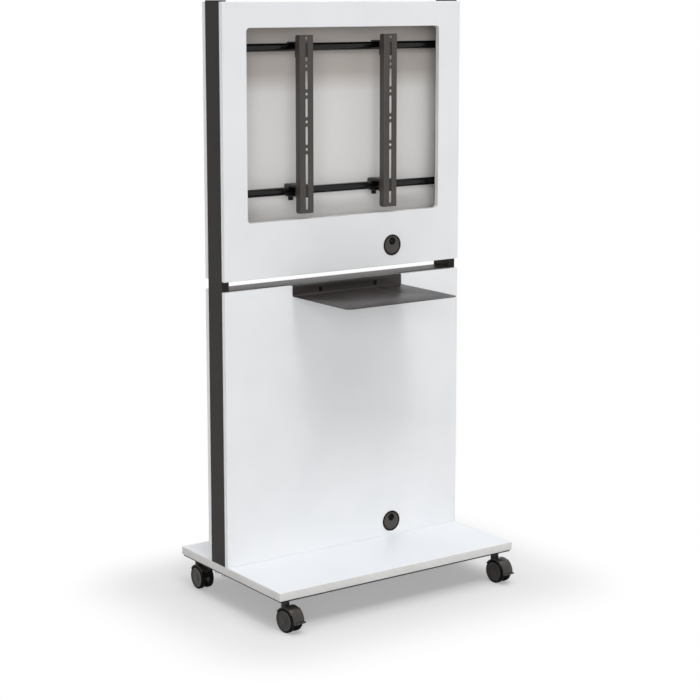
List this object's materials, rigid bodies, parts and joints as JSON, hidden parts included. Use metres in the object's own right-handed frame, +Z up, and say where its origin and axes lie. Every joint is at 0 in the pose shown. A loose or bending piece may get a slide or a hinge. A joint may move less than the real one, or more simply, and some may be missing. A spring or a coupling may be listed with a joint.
{
  "type": "mobile display cart",
  "caption": "Wheeled cart for a flat display: white panelled column with a window and slotted arms, laptop shelf, cable grommets and castors.",
  "frame": {"origin": "bottom centre of the cart's bounding box, on the floor", "axes": "+X to the cart's right as the display's viewer sees it, front towards -Y, +Z up"},
  "size_m": [0.9, 0.6152, 1.872],
  "materials": {
    "white_board": "white melamine, satin",
    "grey_edge": "light grey edge band",
    "anthracite": "fine powder coat",
    "taupe_paint": "fine powder coat",
    "gloss_black": "gloss",
    "black_steel": "satin",
    "plain_steel": "zinc plated",
    "black_plastic": "satin",
    "taupe_plastic": "satin",
    "rubber": "matt"
  },
  "bodies": {
    "cart": {"base_board": "white_board", "base_edging": "grey_edge", "base_plate": "black_steel", "left_post": "anthracite", "right_post": "anthracite", "post_caps": "black_plastic", "gap_rail": "anthracite", "top_rail": "anthracite", "front_lower_panel": "white_board", "front_upper_panel": "white_board", "rear_lower_panel": "white_board", "rear_upper_panel": "white_board", "window_edging": "grey_edge", "upper_tube": "gloss_black", "lower_tube": "gloss_black", "tube_sockets": "gloss_black", "laptop_shelf": "anthracite", "shelf_screws": "black_steel", "upper_grommet": "black_plastic", "lower_grommet": "black_plastic", "panel_brackets": "plain_steel", "foot_bolts": "plain_steel", "front_left_stem": "black_steel", "front_right_stem": "black_steel", "rear_left_stem": "black_steel", "rear_right_stem": "black_steel"},
    "upper_cap": {"upper_grommet_cap": "taupe_plastic"},
    "lower_cap": {"lower_grommet_cap": "taupe_plastic"},
    "left_arm_set": {"left_arm": "taupe_paint", "left_arm_hooks": "gloss_black"},
    "right_arm_set": {"right_arm": "taupe_paint", "right_arm_hooks": "gloss_black"},
    "left_lock": {"left_lock_screw": "black_plastic"},
    "right_lock": {"right_lock_screw": "black_plastic"},
    "front_left_swivel": {"front_left_housing": "black_plastic", "front_left_axle": "plain_steel"},
    "front_left_outer_roller": {"front_left_outer_wheel": "taupe_plastic", "front_left_outer_tread": "rubber"},
    "front_left_inner_roller": {"front_left_inner_wheel": "taupe_plastic", "front_left_inner_tread": "rubber"},
    "front_left_pedal": {"front_left_brake": "taupe_plastic"},
    "front_right_swivel": {"front_right_housing": "black_plastic", "front_right_axle": "plain_steel"},
    "front_right_outer_roller": {"front_right_outer_wheel": "taupe_plastic", "front_right_outer_tread": "rubber"},
    "front_right_inner_roller": {"front_right_inner_wheel": "taupe_plastic", "front_right_inner_tread": "rubber"},
    "front_right_pedal": {"front_right_brake": "taupe_plastic"},
    "rear_left_swivel": {"rear_left_housing": "black_plastic", "rear_left_axle": "plain_steel"},
    "rear_left_outer_roller": {"rear_left_outer_wheel": "taupe_plastic", "rear_left_outer_tread": "rubber"},
    "rear_left_inner_roller": {"rear_left_inner_wheel": "taupe_plastic", "rear_left_inner_tread": "rubber"},
    "rear_right_swivel": {"rear_right_housing": "black_plastic", "rear_right_axle": "plain_steel"},
    "rear_right_outer_roller": {"rear_right_outer_wheel": "taupe_plastic", "rear_right_outer_tread": "rubber"},
    "rear_right_inner_roller": {"rear_right_inner_wheel": "taupe_plastic", "rear_right_inner_tread": "rubber"}
  },
  "joints": [
    {"name": "left_arm_slide", "type": "slide", "parent": "cart", "child": "left_arm_set", "axis": [1, 0, 0], "range_m": [-0.12, 0.1]},
    {"name": "right_arm_slide", "type": "slide", "parent": "cart", "child": "right_arm_set", "axis": [1, 0, 0], "range_m": [-0.1, 0.12]},
    {"name": "left_lock_turn", "type": "hinge", "parent": "left_arm_set", "child": "left_lock", "pos_m": [-0.172, 0.08062, 1.265], "axis": [0, 0, -1], "range_deg": [0, 360]},
    {"name": "right_lock_turn", "type": "hinge", "parent": "right_arm_set", "child": "right_lock", "pos_m": [0.148, 0.08062, 1.265], "axis": [0, 0, -1], "range_deg": [0, 360]},
    {"name": "upper_cap_turn", "type": "hinge", "parent": "cart", "child": "upper_cap", "pos_m": [0.18, 0.02462, 1.094], "axis": [0, -1, 0], "continuous": true},
    {"name": "lower_cap_turn", "type": "hinge", "parent": "cart", "child": "lower_cap", "pos_m": [0.18, 0.02462, 0.177], "axis": [0, -1, 0], "continuous": true},
    {"name": "front_left_swivel_turn", "type": "hinge", "parent": "cart", "child": "front_left_swivel", "pos_m": [-0.408, -0.23538, 0.085], "axis": [0, 0, 1], "continuous": true},
    {"name": "front_left_outer_spin", "type": "hinge", "parent": "front_left_swivel", "child": "front_left_outer_roller", "pos_m": [-0.40536, -0.25419, 0.0375], "axis": [0.9903, 0.1392, 0], "continuous": true},
    {"name": "front_left_inner_spin", "type": "hinge", "parent": "front_left_swivel", "child": "front_left_inner_roller", "pos_m": [-0.40536, -0.25419, 0.0375], "axis": [0.9903, 0.1392, 0], "continuous": true},
    {"name": "front_left_pedal_press", "type": "hinge", "parent": "front_left_swivel", "child": "front_left_pedal", "pos_m": [-0.40536, -0.25419, 0.0375], "axis": [0.9903, 0.1392, 0], "range_deg": [0, 15]},
    {"name": "front_right_swivel_turn", "type": "hinge", "parent": "cart", "child": "front_right_swivel", "pos_m": [0.408, -0.23538, 0.085], "axis": [0, 0, 1], "continuous": true},
    {"name": "front_right_outer_spin", "type": "hinge", "parent": "front_right_swivel", "child": "front_right_outer_roller", "pos_m": [0.40966, -0.25431, 0.0375], "axis": [0.9962, 0.0872, 0], "continuous": true},
    {"name": "front_right_inner_spin", "type": "hinge", "parent": "front_right_swivel", "child": "front_right_inner_roller", "pos_m": [0.40966, -0.25431, 0.0375], "axis": [0.9962, 0.0872, 0], "continuous": true},
    {"name": "front_right_pedal_press", "type": "hinge", "parent": "front_right_swivel", "child": "front_right_pedal", "pos_m": [0.40966, -0.25431, 0.0375], "axis": [0.9962, 0.0872, 0], "range_deg": [0, 15]},
    {"name": "rear_left_swivel_turn", "type": "hinge", "parent": "cart", "child": "rear_left_swivel", "pos_m": [-0.408, 0.27062, 0.085], "axis": [0, 0, 1], "continuous": true},
    {"name": "rear_left_outer_spin", "type": "hinge", "parent": "rear_left_swivel", "child": "rear_left_outer_roller", "pos_m": [-0.408, 0.25162, 0.0375], "axis": [1, 0, 0], "continuous": true},
    {"name": "rear_left_inner_spin", "type": "hinge", "parent": "rear_left_swivel", "child": "rear_left_inner_roller", "pos_m": [-0.408, 0.25162, 0.0375], "axis": [1, 0, 0], "continuous": true},
    {"name": "rear_right_swivel_turn", "type": "hinge", "parent": "cart", "child": "rear_right_swivel", "pos_m": [0.408, 0.27062, 0.085], "axis": [0, 0, 1], "continuous": true},
    {"name": "rear_right_outer_spin", "type": "hinge", "parent": "rear_right_swivel", "child": "rear_right_outer_roller", "pos_m": [0.408, 0.25162, 0.0375], "axis": [1, 0, 0], "continuous": true},
    {"name": "rear_right_inner_spin", "type": "hinge", "parent": "rear_right_swivel", "child": "rear_right_inner_roller", "pos_m": [0.408, 0.25162, 0.0375], "axis": [1, 0, 0], "continuous": true}
  ]
}
